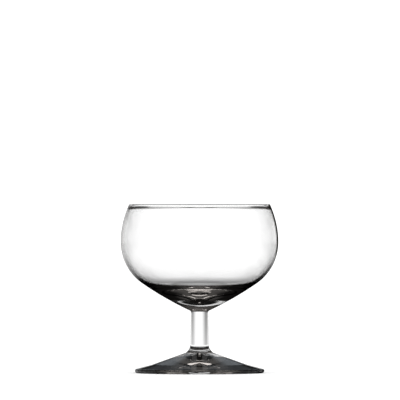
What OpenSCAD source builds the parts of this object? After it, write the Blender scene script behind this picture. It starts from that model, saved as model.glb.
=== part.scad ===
// Liqueur glass of clear glass: a blown bowl, a drawn stem and a pressed foot, welded end to end.
// Sizes are in millimetres. The glass stands on the plane z = 0 and its axis is the z axis.

/* [Bowl] */
// Height of the bowl, from the stem weld to the top of the lip
bowl_h = 43.95; // [38:0.05:60]
// Largest outside diameter of the bowl
belly_d = 65.3; // [54:0.1:80]
// Height of the largest diameter above the stem weld
belly_h = 28.3; // [26:0.1:34]
// Diameter of the rim, measured on the middle of the lip
rim_d = 57.5; // [46:0.1:70]
// Thickness of the wall at the fire-polished lip
lip_wall = 1.2; // [0.8:0.1:2.6]
// Height over which the wall swells inwards to the lip
bead_h = 1.8; // [1:0.1:8]
// Thickness of the wall at the largest diameter
belly_wall = 0.55; // [0.5:0.05:1.2]
// Thickness that the wall grows towards as it rounds the shoulder
shoulder_wall = 1.4; // [0.8:0.05:2.5]
// Outside radius of the shoulder, below the largest diameter
shoulder_r = 21; // [18:0.1:23]
// Outside radius of the long curve from the shoulder to the stem
underside_r = 136; // [80:1:400]
// Thickness of glass between the stem weld and the lowest point of the hollow
floor_t = 5.9; // [4:0.1:7.5]
// Depth of the dimple in the hollow's bottom, drawn down with the stem
dimple_h = 1.9; // [0:0.05:3]
// Diameter of the dimple
dimple_d = 27; // [12:0.5:34]

/* [Stem] */
// Length of the stem between its two welds
stem_l = 17.55; // [10:0.05:60]
// Diameter of the stem just under the bowl
stem_top_d = 7.3; // [5:0.1:8.5]
// Diameter of the stem just above its flare
stem_foot_d = 7.8; // [5:0.05:10]
// Diameter of the weld between the stem and the bowl
bowl_weld_d = 8.7; // [8.6:0.1:12]
// Height of the fillet that carries the stem into the bowl
fillet_h = 0.6; // [0.4:0.05:4]
// Diameter of the weld between the stem's flare and the foot
flare_d = 11.4; // [10:0.1:20]
// Height of the flare at the lower end of the stem
flare_h = 3; // [2:0.1:6]

/* [Foot] */
// Diameter of the foot
foot_d = 53.6; // [42:0.1:70]
// Height of the foot at its weld to the stem
foot_h = 8.35; // [6:0.05:12]
// Width of the flatter brim inside the rounded edge
brim_w = 6.4; // [3:0.1:9]
// Rise of the brim from the rounded edge to the cone
brim_rise = 1.7; // [0.2:0.1:2.5]
// Rounding between the brim and the cone
brim_round = 6; // [1:0.5:20]
// Thickness of the rounded edge
edge_t = 1.75; // [1:0.05:2.5]
// Width of the flat ring that the glass stands on
ring_w = 1.6; // [1:0.1:6]
// Depth of the hollow under the middle of the foot
hollow_h = 4.8; // [0.2:0.1:5.5]
// Form of that hollow: 1 is a cone, 2 is a round bowl
hollow_power = 1; // [1:0.1:4]

/* [Hidden] */
glass = [0.88, 0.94, 0.95, 0.55];
$fn = 180;
// Largest turn between neighbouring points of an arc, in degrees
turn_step = 4;
// Points along a flare, a rounded corner or the hollow under the foot
curve_steps = 12;
// Points along each side of the upper wall, and along the bottom of the bowl's hollow
wall_steps = 24;
// Repeats that settle the lean of the wall where it touches the lip
tilt_rounds = 8;

stem_z = foot_h;
bowl_z = foot_h + stem_l;

// The long underside curve touches the shoulder and ends on the stem weld
shoulder_c = [belly_d / 2 - shoulder_r, belly_h];
weld_p = [bowl_weld_d / 2, 0];
weld_gap = norm(shoulder_c - weld_p);
centre_gap = underside_r - shoulder_r;
weld_cos = (pow(weld_gap, 2) + pow(centre_gap, 2) - pow(underside_r, 2)) / (2 * weld_gap * centre_gap);
weld_way = atan2(weld_p[1] - shoulder_c[1], weld_p[0] - shoulder_c[0]);
centre_way = weld_way - acos(weld_cos);
underside_c = shoulder_c + centre_gap * [cos(centre_way), sin(centre_way)];
shoulder_slope = slope_at(underside_c, shoulder_c);
weld_slope = slope_at(underside_c, weld_p);

// The bottom of the hollow is a shallow round bowl that touches the inside of the shoulder
inner_r = shoulder_r - shoulder_wall;
inner_c = [belly_d / 2 - belly_wall - inner_r, belly_h];
bottom_z = floor_t + dimple_h;
bottom_slope = 2 * atan((belly_h - inner_r - bottom_z) / inner_c[0]);
bottom_end = inner_c[0] + inner_r * sin(bottom_slope);
bottom_bend = sin(bottom_slope) / bottom_end;

// The outside of the upper wall bends in from the largest diameter until it touches the round lip
lip_r = lip_wall / 2;
lip_c = [rim_d / 2, bowl_h - lip_r];
lip_tilt = settled(0, tilt_rounds);
wall_rise = rise_at(lip_tilt);
wall_bend = inset_at(lip_tilt) / pow(wall_rise, 2);

// Slope, from the horizontal, of a curve round centre c where it passes through point p
function slope_at(c, p) = 90 + atan2(p[1] - c[1], p[0] - c[0]);

// Points of an arc between two slopes, without its first point
function arc(c, r, from, to) =
    let (steps = ceil(abs(to - from) / turn_step))
    [for (i = [1:steps])
        let (slope = from + (to - from) * i / steps)
        c + r * [sin(slope), -cos(slope)]];

// Inset and height, from the largest diameter, of the point where a wall of this lean touches the lip
function inset_at(tilt) = belly_d / 2 - lip_c[0] - lip_r * cos(tilt);
function rise_at(tilt) = lip_c[1] - belly_h + lip_r * sin(tilt);

// Lean of the wall at the lip, from a first guess
function settled(tilt, rounds) =
    rounds == 0 ? tilt : settled(atan2(2 * inset_at(tilt), rise_at(tilt)), rounds - 1);

// Point of the upper wall, on its outside for depth 0 and inside for depth 1
// Steps run from the largest diameter and crowd towards the lip, where the wall swells inwards
function wall_point(step, depth) =
    let (up = wall_rise * (1 - pow(1 - step / wall_steps, 2)))
    let (tilt = atan(2 * wall_bend * up))
    let (swell = max(0, 1 - (wall_rise - up) / bead_h))
    let (wall = belly_wall + (lip_wall - belly_wall) * pow(swell, 2) * (3 - 2 * swell))
    [belly_d / 2 - wall_bend * pow(up, 2), belly_h + up] - depth * wall * [cos(tilt), sin(tilt)];

// Height of the hollow's bottom at radius r: a round rise, less the dimple
function bottom_at(r) =
    let (rise = bottom_bend * pow(r, 2) / (1 + sqrt(1 - pow(bottom_bend * r, 2))))
    let (inside = max(0, 1 - pow(2 * r / dimple_d, 2)))
    bottom_z + rise - dimple_h * pow(inside, 2);

// Points of a flare that grows from radius r to end_r over height h, from its narrow end
function flare(r, end_r, h) =
    [for (i = [0:curve_steps])
        let (along = i / curve_steps)
        [r + (end_r - r) * pow(along, 2), h * along]];

function unit(v) = v / norm(v);

// Points that round the corner b between a and c to radius r
function rounded(a, b, c, r) =
    let (to_a = unit(a - b), to_c = unit(c - b))
    let (half = acos(to_a * to_c) / 2)
    let (centre = b + unit(to_a + to_c) * r / sin(half))
    let (from = b + to_a * r / tan(half) - centre, to = b + to_c * r / tan(half) - centre)
    [for (i = [0:curve_steps])
        centre + r * unit(from * (1 - i / curve_steps) + to * i / curve_steps)];

function reversed(points) = [for (i = [len(points) - 1:-1:0]) points[i]];

bowl_outline = concat(
    [[0, 0], weld_p],
    arc(underside_c, underside_r, weld_slope, shoulder_slope),
    arc(shoulder_c, shoulder_r, shoulder_slope, 90),
    [for (i = [1:wall_steps]) wall_point(i, 0)],
    arc(lip_c, lip_r, 90 + lip_tilt, 270 + lip_tilt),
    [for (i = [wall_steps - 1:-1:0]) wall_point(i, 1)],
    arc(inner_c, inner_r, 90, bottom_slope),
    [for (i = [wall_steps - 1:-1:0])
        let (r = bottom_end * i / wall_steps)
        [r, bottom_at(r)]]
);

stem_outline = concat(
    [[0, 0]],
    [for (p = reversed(flare(stem_foot_d / 2, flare_d / 2, flare_h))) [p[0], flare_h - p[1]]],
    [for (p = flare(stem_top_d / 2, bowl_weld_d / 2, fillet_h)) [p[0], stem_l - fillet_h + p[1]]],
    [[0, stem_l]]
);

weld_edge = [flare_d / 2, foot_h];
edge_c = [foot_d / 2 - edge_t / 2, edge_t / 2];
brim_p = [edge_c[0] - brim_w, edge_t + brim_rise];
brim_tilt = atan(brim_rise / brim_w);
brim_end = edge_c + edge_t / 2 * [sin(brim_tilt), cos(brim_tilt)];
ring_r = edge_c[0] - ring_w;

foot_outline = concat(
    [[0, foot_h], weld_edge],
    rounded(weld_edge, brim_p, brim_end, brim_round),
    [brim_end],
    arc(edge_c, edge_t / 2, 180 - brim_tilt, 0),
    [for (i = [0:curve_steps])
        let (r = ring_r * (1 - i / curve_steps))
        [r, hollow_h * (1 - pow(r / ring_r, hollow_power))]]
);

// A solid of glass turned round the axis from its outline, standing at height z
module turned(outline, z) {
    translate([0, 0, z])
        rotate_extrude()
            polygon(outline);
}

module bowl() {
    color(glass) turned(bowl_outline, bowl_z);
}

module stem() {
    color(glass) turned(stem_outline, stem_z);
}

module foot() {
    color(glass) turned(foot_outline, 0);
}

bowl();
stem();
foot();
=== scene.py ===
# %% [markdown]
# # A liqueur glass, from outline to light
# The glass is three pieces of clear glass, melted together end to end: a blown bowl, a drawn stem and a
# pressed foot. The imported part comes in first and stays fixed, as the frame that every piece is built in.
# One could paint that frame and stop there. But its surfaces are made of short straight steps, and clear
# glass bends light, so each step would show. The pieces are therefore turned again here, finely, to the
# same sizes.

import math

import bpy
import numpy as np
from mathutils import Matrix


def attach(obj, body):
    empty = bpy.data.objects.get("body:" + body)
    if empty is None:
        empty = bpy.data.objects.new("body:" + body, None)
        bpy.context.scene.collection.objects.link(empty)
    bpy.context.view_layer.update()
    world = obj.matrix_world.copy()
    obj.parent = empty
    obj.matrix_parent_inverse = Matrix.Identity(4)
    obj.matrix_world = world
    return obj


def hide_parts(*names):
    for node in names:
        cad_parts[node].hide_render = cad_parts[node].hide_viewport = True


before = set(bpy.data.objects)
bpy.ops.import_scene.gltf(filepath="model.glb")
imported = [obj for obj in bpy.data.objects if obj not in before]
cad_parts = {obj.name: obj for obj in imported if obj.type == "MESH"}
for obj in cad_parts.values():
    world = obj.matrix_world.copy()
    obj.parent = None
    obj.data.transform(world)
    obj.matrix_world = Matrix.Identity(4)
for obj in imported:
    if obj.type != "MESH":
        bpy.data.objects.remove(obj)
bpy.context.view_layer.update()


print("nodes", sorted(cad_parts))

# %% [markdown]
# ## The outline of the bowl
# A blown bowl is round, so one curve drawn from its axis to its lip and back to the axis says everything
# about it. It could be drawn by hand as a Bezier curve and turned with a Screw modifier. A formula is
# chosen instead, because arcs that touch each other give the even, unbroken bends that a rotating bubble
# of glass takes by itself. All sizes are in millimetres, as on a drawing. A slope of 0 degrees lies flat,
# and 90 degrees stands upright.

# %% Sizes of the bowl, and arcs between two slopes
bowl_h, belly_d, belly_h = 43.95, 65.3, 28.3
rim_d, lip_wall, bead_h = 57.5, 1.2, 1.8
belly_wall, shoulder_wall = 0.55, 1.4
shoulder_r, underside_r = 21.0, 136.0
floor_t, dimple_h, dimple_d = 5.9, 1.9, 27.0
bowl_weld_d = 8.7


def arc(centre, radius, start, end, step):
    """Points of an arc between two slopes, about step degrees apart."""
    slopes = np.radians(np.linspace(start, end, math.ceil(abs(end - start) / step) + 1))
    return np.stack([centre[0] + radius * np.sin(slopes), centre[1] - radius * np.cos(slopes)], 1)


def slope_at(centre, point):
    """Slope of a curve round a centre where it passes through a point."""
    return 90 + math.degrees(math.atan2(point[1] - centre[1], point[0] - centre[0]))


print("arc sample", arc((0, 0), 1, 0, 90, 45).round(3).tolist())

# %% [markdown]
# ## Outside of the bowl
# Below the widest line the outside rounds a shoulder and then runs in one long, nearly straight curve to
# the stem. The centre of that long curve isn't known, but it must touch the shoulder from inside and end
# on the stem's edge. Those two facts fix a triangle, and the law of cosines gives its third corner.

# %% Outside, from the stem weld up to the widest line
LONG_STEP, ROUND_STEP = 0.25, 1.5
shoulder_c = np.array([belly_d / 2 - shoulder_r, belly_h])
weld_p = np.array([bowl_weld_d / 2, 0])
to_weld = weld_p - shoulder_c
weld_gap = np.linalg.norm(to_weld)
centre_gap = underside_r - shoulder_r
weld_cos = (weld_gap**2 + centre_gap**2 - underside_r**2) / (2 * weld_gap * centre_gap)
centre_way = math.atan2(to_weld[1], to_weld[0]) - math.acos(weld_cos)
underside_c = shoulder_c + centre_gap * np.array([math.cos(centre_way), math.sin(centre_way)])
shoulder_slope = slope_at(underside_c, shoulder_c)
weld_slope = slope_at(underside_c, weld_p)
underside = arc(underside_c, underside_r, weld_slope, shoulder_slope, LONG_STEP)
shoulder = arc(shoulder_c, shoulder_r, shoulder_slope, 90, ROUND_STEP)
print("slopes at the stem and at the shoulder", round(weld_slope, 1), round(shoulder_slope, 1))

# %% [markdown]
# ## Upper wall and lip
# Above the widest line the wall leans in to the rim. The edge was cut and then melted smooth in a flame,
# which draws the glass up into a small round bead. The outside stays one even curve to the very top, and
# the bead swells inwards. A bevel would leave ridges, so the lip is a half circle that touches both faces.
# The wall's lean at the lip depends on where the half circle touches it, and the touching point depends
# on the lean: a few repeats settle both.

# %% The lean of the wall, and the round lip
TILT_ROUNDS = 8
LIP_STEP = 6
lip_r = lip_wall / 2
lip_c = np.array([rim_d / 2, bowl_h - lip_r])
lip_tilt = 0.0
for _ in range(TILT_ROUNDS):
    wall_in = belly_d / 2 - lip_c[0] - lip_r * math.cos(lip_tilt)
    wall_rise = lip_c[1] - belly_h + lip_r * math.sin(lip_tilt)
    lip_tilt = math.atan2(2 * wall_in, wall_rise)
wall_bend = wall_in / wall_rise**2
lip_slope = 90 + math.degrees(lip_tilt)
lip = arc(lip_c, lip_r, lip_slope, lip_slope + 180, LIP_STEP)
print("the wall leans in by", round(lip_slope - 90, 1), "degrees at the lip")

# %% [markdown]
# Both faces of the wall come from one helper. Its points crowd towards the lip, where the bead swells over
# less than two millimetres.

# %% The two faces of the upper wall
WALL_POINTS, CROWDING = 60, 1.6


def wall_face(inside):
    """Points up one face of the upper wall: the outer one for 0 and the inner one for 1."""
    up = wall_rise * (1 - (1 - np.linspace(0, 1, WALL_POINTS)) ** CROWDING)
    swell = np.maximum(0, 1 - (wall_rise - up) / bead_h)
    depth = inside * (belly_wall + (lip_wall - belly_wall) * swell**2 * (3 - 2 * swell))
    tilt = np.arctan(2 * wall_bend * up)
    return np.stack([belly_d / 2 - wall_bend * up**2 - depth * np.cos(tilt),
                     belly_h + up - depth * np.sin(tilt)], 1)


outer_wall_face, inner_wall_face = wall_face(0), wall_face(1)
print("upper wall from", outer_wall_face[0].round(2).tolist(), "to", outer_wall_face[-1].round(2).tolist())

# %% [markdown]
# ## Inside of the bowl
# The inside isn't a copy of the outside: the glass grows from half a millimetre at the widest line to a
# thick floor, and the hot stem has drawn a shallow dimple down into that floor. The shape of this hollow
# matters more than it seems, because the thick glass works as a lens and draws the dark and bright bands
# over the stem.

# %% Inside of the shoulder, and the hollow's bottom with its dimple
BOTTOM_POINTS = 80
inner_r = shoulder_r - shoulder_wall
inner_c = np.array([belly_d / 2 - belly_wall - inner_r, belly_h])
bottom_z = floor_t + dimple_h
bottom_slope = 2 * math.degrees(math.atan((belly_h - inner_r - bottom_z) / inner_c[0]))
bottom_end = inner_c[0] + inner_r * math.sin(math.radians(bottom_slope))
bottom_bend = math.sin(math.radians(bottom_slope)) / bottom_end
inner_shoulder = arc(inner_c, inner_r, 90, bottom_slope, ROUND_STEP)


def bottom_at(r):
    """Height of the hollow's bottom at radius r: a round rise, less the dimple."""
    rise = bottom_bend * r**2 / (1 + np.sqrt(1 - (bottom_bend * r) ** 2))
    return bottom_z + rise - dimple_h * np.maximum(0, 1 - (2 * r / dimple_d) ** 2) ** 2


bottom_r = np.linspace(bottom_end, 0, BOTTOM_POINTS)
bottom = np.stack([bottom_r, bottom_at(bottom_r)], 1)
bowl_outline = np.concatenate([
    [[0, 0]], underside, shoulder[1:], outer_wall_face[1:], lip[1:],
    inner_wall_face[-2::-1], inner_shoulder[1:], bottom[1:],
])
print("bowl outline", len(bowl_outline), "points, up to", bowl_outline.max(0).round(2).tolist())

# %% [markdown]
# ## From outline to solid
# A Screw modifier would turn an outline too, but plain mesh code leaves one clean grid of four-sided faces
# with a single point at each end of the axis, and it can give the flat weld faces a material of their own.
# First come the points: one ring for each point of the outline, and the two ends on the axis.

# %% A helper for the points of a turned solid
MM = 0.001
TURNS = 192


def turned_points(outline, lift):
    """Points in metres, ring by ring, and then the outline's two ends on the axis."""
    angle = np.linspace(0, 2 * math.pi, TURNS, endpoint=False)
    round_xy = np.stack([np.cos(angle), np.sin(angle)], 1)
    rings = np.empty((len(outline) - 2, TURNS, 3))
    rings[..., :2] = outline[1:-1, None, :1] * round_xy
    rings[..., 2] = outline[1:-1, None, 1]
    ends = [[0, 0, outline[0, 1]], [0, 0, outline[-1, 1]]]
    return (np.concatenate([rings.reshape(-1, 3), ends]) + [0, 0, lift]) * MM


print("the bowl takes", len(turned_points(bowl_outline, 0)), "points")

# %% [markdown]
# Then come the faces. Each ring is joined to the next by four-sided faces, and a fan of triangles closes
# each end.

# %% A helper for the faces of a turned solid
here = np.arange(TURNS)
after = (here + 1) % TURNS


def turned_faces(rings):
    """Faces between neighbouring rings, then the fan at the outline's start and the fan at its end."""
    first = np.arange(rings - 1)[:, None] * TURNS
    last = (rings - 1) * TURNS
    side = np.stack([first + here, first + after, first + TURNS + after, first + TURNS + here], -1)
    low = np.stack([np.full(TURNS, rings * TURNS), after, here], 1)
    high = np.stack([np.full(TURNS, rings * TURNS + 1), last + here, last + after], 1)
    return side.reshape(-1, 4).tolist() + low.tolist() + high.tolist()


print("a solid of three rings takes", len(turned_faces(3)), "faces")

# %% [markdown]
# A fan that is a weld gets the second material, and stays flat. Sharp edges round it keep the flat face
# from tilting the smooth shading of the side next to it.

# %% A helper that turns an outline into a piece
WELD_SLOT = 1


def mark_weld(mesh, first_face, first_point):
    """Make a fan of faces, and the ring of edges round it, into a weld."""
    for face in mesh.polygons[first_face:first_face + TURNS]:
        face.material_index = WELD_SLOT
        face.use_smooth = False
    ring = {frozenset(pair) for pair in (first_point + np.stack([here, after], 1)).tolist()}
    for edge in mesh.edges:
        if frozenset(edge.vertices) in ring:
            edge.use_edge_sharp = True


def turned(name, outline, lift, welds):
    """A closed round solid from an outline that starts and ends on the axis; welds names its flat ends."""
    rings = len(outline) - 2
    last = (rings - 1) * TURNS
    ends = {"low": (last, 0), "high": (last + TURNS, last)}
    mesh = bpy.data.meshes.new(name)
    mesh.from_pydata(turned_points(outline, lift).tolist(), [], turned_faces(rings))
    mesh.shade_smooth()
    for end in welds:
        mark_weld(mesh, *ends[end])
    piece = bpy.data.objects.new(name, mesh)
    bpy.context.scene.collection.objects.link(piece)
    print(name, len(mesh.vertices), "points,", len(mesh.polygons), "faces")
    return piece


# %% [markdown]
# ## The bowl
# The bowl stands on the stem, so its outline is lifted by the height of the foot and the length of the
# stem.

# %% Turn the bowl
foot_h, stem_l = 8.35, 17.55
bowl = turned("blown_bowl", bowl_outline, foot_h + stem_l, ["low"])

# %% [markdown]
# ## The stem
# A stem is drawn by hand from a gather of glass: nearly straight, a little thicker below, and with a flare
# at each end where the hot glass ran into its neighbour. A cylinder would meet the bowl and the foot at
# hard corners, so each flare follows a parabola that starts along the stem and opens out towards the weld.

# %% Turn the stem
stem_top_d, stem_foot_d = 7.3, 7.8
fillet_h, flare_d, flare_h = 0.6, 11.4, 3.0
FLARE_POINTS, SHANK_POINTS = 24, 40


def flare(r, end_r, h):
    """Points of a flare from radius r to end_r over height h, from its narrow end."""
    along = np.linspace(0, 1, FLARE_POINTS)
    return np.stack([r + (end_r - r) * along**2, h * along], 1)


low_flare = flare(stem_foot_d / 2, flare_d / 2, flare_h)[::-1] * [1, -1] + [0, flare_h]
top_flare = flare(stem_top_d / 2, bowl_weld_d / 2, fillet_h) + [0, stem_l - fillet_h]
shank = np.linspace(low_flare[-1], top_flare[0], SHANK_POINTS)[1:-1]
stem_outline = np.concatenate([[[0, 0]], low_flare, shank, top_flare, [[0, stem_l]]])
stem = turned("drawn_stem", stem_outline, foot_h, ["low", "high"])

# %% [markdown]
# ## The foot
# The foot was pressed while soft: a low cone with a flatter brim, a round edge, and a conical hollow
# underneath, so that the glass stands on a narrow ring and doesn't rock. The corner between cone and brim
# is rounded, as pressed glass always is, because a sharp corner would chill first and crack. A Bevel
# modifier could round it, but a short arc in the outline keeps the exact radius.

# %% Sizes of the foot, and helpers for its outline
foot_d, brim_w, brim_rise, brim_round = 53.6, 6.4, 1.7, 6.0
edge_t, ring_w, hollow_h = 1.75, 1.6, 4.8
CORNER_POINTS = 16


def unit(v):
    """The same direction, one long."""
    return v / np.linalg.norm(v)


def rounded(a, b, c, r):
    """Points that round the corner b between a and c to radius r."""
    to_a, to_c = unit(a - b), unit(c - b)
    half_angle = math.acos(to_a @ to_c) / 2
    centre = b + unit(to_a + to_c) * r / math.sin(half_angle)
    start = b + to_a * r / math.tan(half_angle) - centre
    end = b + to_c * r / math.tan(half_angle) - centre
    share = np.linspace(0, 1, CORNER_POINTS)
    return np.array([centre + r * unit(start * (1 - t) + end * t) for t in share])


def split(points, longest):
    """The same line with its long straight runs split into shorter ones."""
    parts = [points[:1]]
    for a, b in zip(points[:-1], points[1:]):
        parts.append(np.linspace(a, b, math.ceil(np.linalg.norm(b - a) / longest) + 1)[1:])
    return np.concatenate(parts)


print("foot", foot_d, "mm across, on a ring", ring_w, "mm wide")

# %% [markdown]
# The foot's outline starts at the top of the hollow and runs down to the ring, round the edge, over the
# brim and up the cone. Its long straight runs are split, so that no face is much longer than the others.

# %% Turn the foot
EDGE_STEP, HOLLOW_POINTS, LONGEST_RUN = 3, 60, 0.5
weld_edge = np.array([flare_d / 2, foot_h])
edge_c = np.array([foot_d / 2 - edge_t / 2, edge_t / 2])
brim_p = np.array([edge_c[0] - brim_w, edge_t + brim_rise])
brim_tilt = math.degrees(math.atan(brim_rise / brim_w))
edge = arc(edge_c, edge_t / 2, 0, 180 - brim_tilt, EDGE_STEP)
brim = rounded(edge[-1], brim_p, weld_edge, brim_round)
hollow = np.linspace([0, hollow_h], [edge_c[0] - ring_w, 0], HOLLOW_POINTS)
upper_side = split(np.concatenate([hollow[-1:], edge, brim, [weld_edge]]), LONGEST_RUN)
foot_outline = np.concatenate([hollow, upper_side[1:], [[0, foot_h]]])
foot = turned("pressed_foot", foot_outline, 0, ["high"])

# %% [markdown]
# ## Joining the frame
# Each turned piece takes the place of the imported solid it was drawn from, which is hidden, and moves with
# the same body.

# %% Seat the pieces in the frame
for piece, node in ((bowl, "bowl"), (stem, "stem"), (foot, "foot")):
    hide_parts(node)
    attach(piece, "root")

# %% [markdown]
# ## Nodes
# Every finish, and the light too, is a tree of nodes. A node's input holds either a value of its own or a
# link from another node, and two small helpers set both kinds in the same way.

# %% Helpers that add a finish and its nodes
def feed(tree, target, inputs):
    """Give each named or numbered input of a node a value, or a link from another node's output."""
    for key, value in inputs.items():
        if isinstance(value, bpy.types.NodeSocket):
            tree.links.new(value, target.inputs[key])
        else:
            target.inputs[key].default_value = value
    return target


def add_node(tree, kind, inputs):
    """A new node of a tree, with its inputs fed."""
    return feed(tree, tree.nodes.new(kind), inputs)


def new_finish(name):
    """A new material, and its tree of nodes."""
    material = bpy.data.materials.new(name)
    material.use_nodes = True
    return material, material.node_tree


print("materials so far", len(bpy.data.materials))

# %% [markdown]
# ## Clear glass
# Clear soda-lime glass has no colour of its own here: all that shows is light bent and mirrored by its
# surfaces. The Principled shader does that with full Transmission and the glass's index of refraction.
# Perfect glass looks computed, so each piece keeps a trace of how it was made: faint waves, by bump, and
# a thin uneven film, by roughness.

# %% A helper that makes a glass finish
IOR = 1.52
FILM_FINER = 4
FILM_NONE, FILM_FULL = 0.35, 0.75


def glass(name, stretch, wave, depth, dull):
    """Clear glass. Wave counts its waves in a metre, depth is their height, dull is the film's roughness."""
    material, tree = new_finish(name)
    place = tree.nodes.new("ShaderNodeTexCoord").outputs["Object"]
    drawn_out = add_node(tree, "ShaderNodeMapping", {"Vector": place, "Scale": stretch}).outputs["Vector"]
    waves = add_node(tree, "ShaderNodeTexNoise", {"Vector": drawn_out, "Scale": wave, "Detail": 2})
    bump = add_node(tree, "ShaderNodeBump",
                    {"Height": waves.outputs["Fac"], "Strength": 1, "Distance": depth})
    film = add_node(tree, "ShaderNodeTexNoise", {"Vector": place, "Scale": FILM_FINER * wave, "Detail": 4})
    haze = add_node(tree, "ShaderNodeMapRange",
                    {"Value": film.outputs["Fac"], "From Min": FILM_NONE, "From Max": FILM_FULL,
                     "To Min": 0, "To Max": dull})
    feed(tree, tree.nodes["Principled BSDF"],
         {"Base Color": (1, 1, 1, 1), "IOR": IOR, "Transmission Weight": 1,
          "Roughness": haze.outputs["Result"], "Normal": bump.outputs["Normal"]})
    print(name, "waves of", round(1000 / wave, 1), "mm,", depth * 1e6, "micrometres high")
    return material


# %% [markdown]
# The bowl was turned while it was blown, so its faint waves run round it. The stem was pulled, which
# stretches its waves along its length. The foot was pressed, and its waves are broad and even.

# %% The three glass finishes
blown_glass = glass("blown_glass", stretch=(1, 1, 3), wave=60, depth=2e-6, dull=0.012)
drawn_glass = glass("drawn_glass", stretch=(3, 3, 0.4), wave=150, depth=1e-6, dull=0.012)
pressed_glass = glass("pressed_glass", stretch=(1, 1, 1), wave=90, depth=2e-6, dull=0.015)

# %% [markdown]
# ## The welds
# Where two pieces were melted together there is no surface left inside the glass, so light passes straight
# on. The flat end faces are still there, because each piece is a closed solid of its own. A Transparent
# shader makes them vanish to light without opening the solids.

# %% The weld finish, and every piece's materials
weld, weld_tree = new_finish("melted_weld")
weld_tree.nodes.remove(weld_tree.nodes["Principled BSDF"])
through_weld = weld_tree.nodes.new("ShaderNodeBsdfTransparent")
feed(weld_tree, weld_tree.nodes["Material Output"], {"Surface": through_weld.outputs["BSDF"]})
for piece, finish in ((bowl, blown_glass), (stem, drawn_glass), (foot, pressed_glass)):
    piece.data.materials.append(finish)
    piece.data.materials.append(weld)
    print(piece.name, [m.name for m in piece.data.materials])

# %% [markdown]
# ## The floor
# The glass stands on a pale sheet of paper, which lies a hair under the foot, so the two never share a
# plane. Glass shows a painted room instead of this sheet, so the sheet is hidden from light that passes
# through glass or is mirrored by it.

# %% The sheet
FLOOR_GAP = 0.00003
FLOOR_SIZE = 12.0
half = FLOOR_SIZE / 2
corners = [(-half, -half, 0), (half, -half, 0), (half, half, 0), (-half, half, 0)]
floor_mesh = bpy.data.meshes.new("pale_floor")
floor_mesh.from_pydata(corners, [], [(0, 1, 2, 3)])
floor = bpy.data.objects.new("pale_floor", floor_mesh)
floor.location.z = -FLOOR_GAP
bpy.context.scene.collection.objects.link(floor)
floor.visible_transmission = False
floor.visible_glossy = False
print("floor", FLOOR_SIZE, "m square")

# %% [markdown]
# Such paper has a soft sheen: it looks whiter the flatter one looks along it. The Principled shader has a
# sheen of its own, made for cloth. Here the sheen is painted into the colour: a Layer Weight node says how
# slanted the view is, and a plain Diffuse shader takes its colour from it. At a Blend of a quarter the node
# gives one minus the square root of the sine of the angle of view. The paper is painted whitest where that
# root is GRAZING, and dullest where it is STEEP.

# %% The paper
ROOT_BLEND = 0.25
GRAZING, STEEP = 0.245, 0.755
PAINTED_SHEEN_WHITE, STEEP_VIEW_PAPER = 0.95, 0.3
painted_sheen_paper, sheet = new_finish("paper_with_painted_sheen")
sheet.nodes.remove(sheet.nodes["Principled BSDF"])
slant = add_node(sheet, "ShaderNodeLayerWeight", {"Blend": ROOT_BLEND}).outputs["Facing"]
# Painted sheen: the paper's diffuse colour runs from grey at a steep view to white at a grazing one.
painted_sheen_colour = add_node(sheet, "ShaderNodeMapRange",
                     {"Value": slant, "From Min": 1 - STEEP, "From Max": 1 - GRAZING,
                      "To Min": STEEP_VIEW_PAPER, "To Max": PAINTED_SHEEN_WHITE})
sheen_painted_diffuse = add_node(sheet, "ShaderNodeBsdfDiffuse", {"Color": painted_sheen_colour.outputs["Result"]})
feed(sheet, sheet.nodes["Material Output"], {"Surface": sheen_painted_diffuse.outputs["BSDF"]})
floor.data.materials.append(painted_sheen_paper)
print("paper from", STEEP_VIEW_PAPER, "to", PAINTED_SHEEN_WHITE)

# %% [markdown]
# ## Studio light
# Glass has no shade of its own: it shows what stands behind it and beside it. Photographers light it with
# a white wall behind and black cards at the sides, so that clear parts stay white and every edge is drawn
# by a dark line. Lamps and cards could stand round the glass as real objects. The World shader can paint
# them instead, by direction alone, and then nothing has to be hidden from the camera.

# %% The studio, and helpers that reckon in its nodes
world = bpy.data.worlds.new("studio")
bpy.context.scene.world = world
world.use_nodes = True
room = world.node_tree
room.nodes.clear()


def math_node(operation, *values):
    """The result of a Math node of the room."""
    made = add_node(room, "ShaderNodeMath", dict(enumerate(values)))
    made.operation = operation
    return made.outputs[0]


def times(first, *others):
    """The product of several values."""
    for other in others:
        first = math_node("MULTIPLY", first, other)
    return first


def brightest(first, *others):
    """The largest of several values."""
    for other in others:
        first = math_node("MAXIMUM", first, other)
    return first


def past(card):
    """The share of light that gets past a dark card."""
    return math_node("SUBTRACT", 1.0, card)


print("an empty room of", len(room.nodes), "nodes")

# %% [markdown]
# Each direction has an elevation over the horizon and an azimuth, counted from straight behind the glass
# and positive to the right. Its turn is the azimuth without its sign, for what is the same on both sides.
# A ramp is a soft step along one of these angles, and a patch is a stretch of it that fades at both ends.

# %% The angles of a direction, and helpers that paint along them
way = add_node(room, "ShaderNodeSeparateXYZ", {0: room.nodes.new("ShaderNodeTexCoord").outputs["Generated"]})
elevation = math_node("DEGREES", math_node("ARCSINE", way.outputs["Z"]))
azimuth = math_node("DEGREES", math_node("ARCTAN2", way.outputs["X"], way.outputs["Y"]))
turn = math_node("ABSOLUTE", azimuth)


def ramp(value, start, end, low=0.0, high=1.0):
    """A soft step from low to high as value goes from start to end."""
    made = add_node(room, "ShaderNodeMapRange",
                    {"Value": value, "From Min": start, "From Max": end, "To Min": low, "To Max": high})
    made.interpolation_type = "SMOOTHSTEP"
    return made.outputs[0]


def patch(value, low, high, soft, level=1.0):
    """A level between low and high, fading to nothing over soft on both sides of each end."""
    return times(ramp(value, low - soft, low + soft, 0.0, level), ramp(value, high + soft, high - soft))


print("angles drawn by", len(room.nodes), "nodes")

# %% [markdown]
# ## What shows straight through the glass
# Light that only passes through meets the white wall, which dims upwards and towards the sides, and a soft
# light overhead. Seen from the side or from behind, the same glass looks at white walls there. Below the
# horizon lies the sweep that the glass stands on, which dims with the steepness of the view as the paper
# does.

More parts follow.
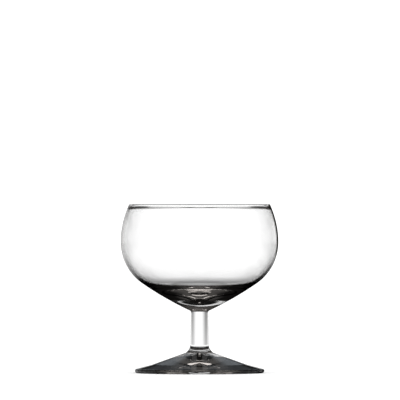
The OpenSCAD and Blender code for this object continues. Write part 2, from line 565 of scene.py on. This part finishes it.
# %% Room for light that passes through
WALL, HIGH_WALL, CEILING = 1.25, 0.45, 1.2
DARK_SIDE, DULL_SWEEP = 0.05, 0.35
back_wall = times(ramp(azimuth, -42, -1, low=DARK_SIDE), ramp(azimuth, 48, 6, low=DARK_SIDE))
side_walls = ramp(turn, 68, 82)
wall = times(ramp(elevation, 12, 45, WALL, HIGH_WALL), brightest(back_wall, side_walls))
downwards = math_node("RADIANS", math_node("MULTIPLY", elevation, -1.0))
steepness = math_node("SQRT", brightest(math_node("SINE", downwards), 0.0))
sweep = add_node(room, "ShaderNodeMapRange",
                 {"Value": steepness, "From Min": GRAZING, "From Max": STEEP,
                  "To Min": WALL, "To Max": DULL_SWEEP}).outputs[0]
horizon = ramp(elevation, -3.2, -2.0)
open_room = add_node(room, "ShaderNodeMix", {"Factor": horizon, "A": sweep, "B": wall}).outputs[0]
open_room = brightest(open_room, ramp(elevation, 55, 70, high=CEILING))
print("through light: wall", WALL, "and ceiling", CEILING)

# %% [markdown]
# ## What the glass mirrors once inside
# Thick glass turns light back from inside, like a prism. Light that is mirrored once finds a low white
# panel behind the glass, with a narrow black card before its right half, a lit ceiling, soft light at the
# sides and some behind the camera. The side light draws the rim. It is dimmed between 22 and 42 degrees of
# elevation, because the middle of the foot mirrors that band and should stay dark.

# %% Room for light mirrored once inside
DARK = 0.006
low_panel = times(patch(azimuth, -34, 34, soft=5), patch(elevation, -10.7, 8.4, soft=5))
right_card = times(patch(azimuth, 2, 22, soft=2), patch(elevation, -6, 26, soft=3))
lit_ceiling = ramp(elevation, 82, 86, high=0.6)
foot_band = times(patch(elevation, 22, 42, soft=2, level=0.65), ramp(turn, 74, 64))
side_light = times(patch(turn, 18, 85, soft=5, level=0.65), patch(elevation, 10, 76, soft=5))
camera_side = times(ramp(turn, 75, 95, high=0.5), patch(elevation, -20, 50, soft=8))
once_inside = brightest(times(low_panel, past(right_card)), lit_ceiling,
                        times(side_light, past(foot_band)), camera_side, DARK)
print("once mirrored light: room of", len(room.nodes), "nodes so far")

# %% [markdown]
# ## What the glass mirrors oftener
# The thick floor of the bowl sends light round several times before it gets out. That light finds a dark
# room, so the glass over the stem stays nearly black. Only light mirrored three or four times finds bright
# panels: those two counts draw the fine bright lines over the stem, and no other count touches them.

# %% Rooms for light mirrored twice and oftener
dim_back = ramp(turn, 44, 30, low=DARK, high=0.07)
third_panel = times(ramp(turn, 40, 32), patch(elevation, 14, 38, soft=4))
third_inside = brightest(third_panel, dim_back)
near_panel = times(ramp(turn, 26, 18, high=0.8), patch(elevation, -6, 10, soft=4))
wing_panel = times(patch(turn, 20, 33, soft=3), patch(elevation, 14, 40, soft=4))
fourth_inside = brightest(near_panel, wing_panel, dim_back)
print("oftener mirrored light: room of", len(room.nodes), "nodes so far")

# %% [markdown]
# ## What the glass mirrors outside
# The outer faces mirror the room like a window pane, most strongly near the outline. Black strips on both
# sides of the wall draw the outline; the right one is blacker. Further round, the wall is dark below eye
# level and again above it. That darkens the edges of the stem and the round edge of the foot, and the lit
# strip left at eye level keeps the sides of the bowl light.

# %% Wall for light mirrored off the outside
strips = math_node("ADD", patch(azimuth, -28, -7, soft=3, level=0.5), patch(azimuth, 5, 28, soft=3))
side_cards = math_node("ADD", patch(azimuth, -75, -26, soft=4, level=0.6),
                       patch(azimuth, 26, 75, soft=4, level=0.9))
low_sides = times(side_cards, patch(elevation, -28, -1, soft=2))
high_sides = times(patch(turn, 22, 75, soft=4, level=0.9), patch(elevation, 8, 42, soft=3))
wall_top = brightest(ramp(elevation, 11, 3), times(ramp(turn, 12, 18), ramp(elevation, 46, 34)))
low_lean = math_node("MULTIPLY_ADD", turn, 0.9, elevation)
wall_foot = times(ramp(low_lean, -4, 4), ramp(elevation, -45, -25))
outer_wall = times(ramp(turn, 100, 50, low=0.27, high=0.9), wall_top, wall_foot,
                   past(strips), past(low_sides), past(high_sides))
print("light mirrored outside: room of", len(room.nodes), "nodes so far")

# %% [markdown]
# A cool soft box on each side, higher up, lies on the slopes of the foot, and a weaker one stands between
# them.

# %% Soft boxes for light mirrored off the outside
side_boxes = times(patch(turn, 6, 14, soft=3, level=0.5), patch(elevation, 11, 34, soft=4))
middle_box = times(ramp(turn, 8, 4, high=0.15), patch(elevation, 26, 38, soft=4))
soft_boxes = math_node("ADD", side_boxes, middle_box)
print("soft boxes: room of", len(room.nodes), "nodes so far")

# %% [markdown]
# ## Which light finds which room
# The Light Path node counts how often light was mirrored and how often it passed a surface, and that picks
# the room. Light that has met neither, such as the light on the floor and the white backdrop, finds a plain
# white room. Light that reaches the floor through the glass is dim, so the foot has a thin dark shade where
# it touches the paper.

# %% Helpers that choose a light by a count
path = room.nodes.new("ShaderNodeLightPath")
mirrored = path.outputs["Glossy Depth"]
passed = path.outputs["Transmission Depth"]
scattered = path.outputs["Diffuse Depth"]


def light(strength, colour=(1, 1, 1, 1)):
    """Light of one colour, as strong as the room is there."""
    return add_node(room, "ShaderNodeBackground", {"Strength": strength, "Color": colour}).outputs[0]


def from_count(count, least, fewer, more):
    """One light for a count below least and another from there on."""
    choice = math_node("GREATER_THAN", count, least - 0.5)
    return add_node(room, "ShaderNodeMixShader", {0: choice, 1: fewer, 2: more}).outputs[0]


print("counts:", mirrored.name, passed.name, scattered.name)

# %% [markdown]
# The rooms are joined from the rarest light to the commonest, each by one Mix Shader. Light that went round
# inside the glass is a little warm, and the soft boxes are a little cool, as light from a window is.

# %% Put the rooms together
WHITE, SHADE = 1.35, 0.1
COOL, WARM = (0.86, 0.93, 1.0, 1), (1.0, 0.93, 0.88, 1)
inside_light = light(dim_back, WARM)
for count, strength in ((4, fourth_inside), (3, third_inside), (2, dim_back)):
    inside_light = from_count(mirrored, count + 1, light(strength, WARM), inside_light)
inside_light = from_count(mirrored, 2, light(once_inside), inside_light)
outside_light = add_node(room, "ShaderNodeAddShader", {0: light(outer_wall), 1: light(soft_boxes, COOL)})
mirrored_light = from_count(passed, 1, outside_light.outputs[0], inside_light)
through_light = from_count(scattered, 1, light(open_room), light(SHADE))
straight_light = from_count(passed, 1, light(WHITE), through_light)
all_light = from_count(mirrored, 1, straight_light, mirrored_light)
add_node(room, "ShaderNodeOutputWorld", {"Surface": all_light})
print("room drawn by", len(room.nodes), "nodes")

# %% [markdown]
# ## Camera
# The picture is taken from far away with a long lens, level with the rim, so the rim shows as a straight
# line. The lens follows from the distance and from the width that the picture shows there.

# %% The camera
DISTANCE, HEIGHT, ASIDE = 3.0, 0.0715, 0.0002
FRAME_WIDTH = 0.1655
SENSOR_WIDTH = 36
camera = bpy.data.objects.new("camera", bpy.data.cameras.new("camera"))
camera.data.sensor_width = SENSOR_WIDTH
camera.data.lens = SENSOR_WIDTH * DISTANCE / FRAME_WIDTH
camera.data.clip_end = 100
camera.location = (ASIDE, -DISTANCE, HEIGHT)
camera.rotation_euler = (math.pi / 2, 0, 0)
bpy.context.scene.collection.objects.link(camera)
bpy.context.scene.camera = camera
print("lens", round(camera.data.lens), "mm at", DISTANCE, "m")

# %% [markdown]
# ## Light paths and colour
# Light crosses many surfaces in a glass, so it is followed further than usual. The Standard view keeps
# white white.

# %% Light paths and colour
SURFACES, MIRRORINGS = 24, 16
scene = bpy.context.scene
scene.cycles.max_bounces = SURFACES
scene.cycles.transmission_bounces = SURFACES
scene.cycles.transparent_max_bounces = SURFACES
scene.cycles.glossy_bounces = MIRRORINGS
scene.view_settings.view_transform = "Standard"
print("light is followed over", SURFACES, "surfaces")
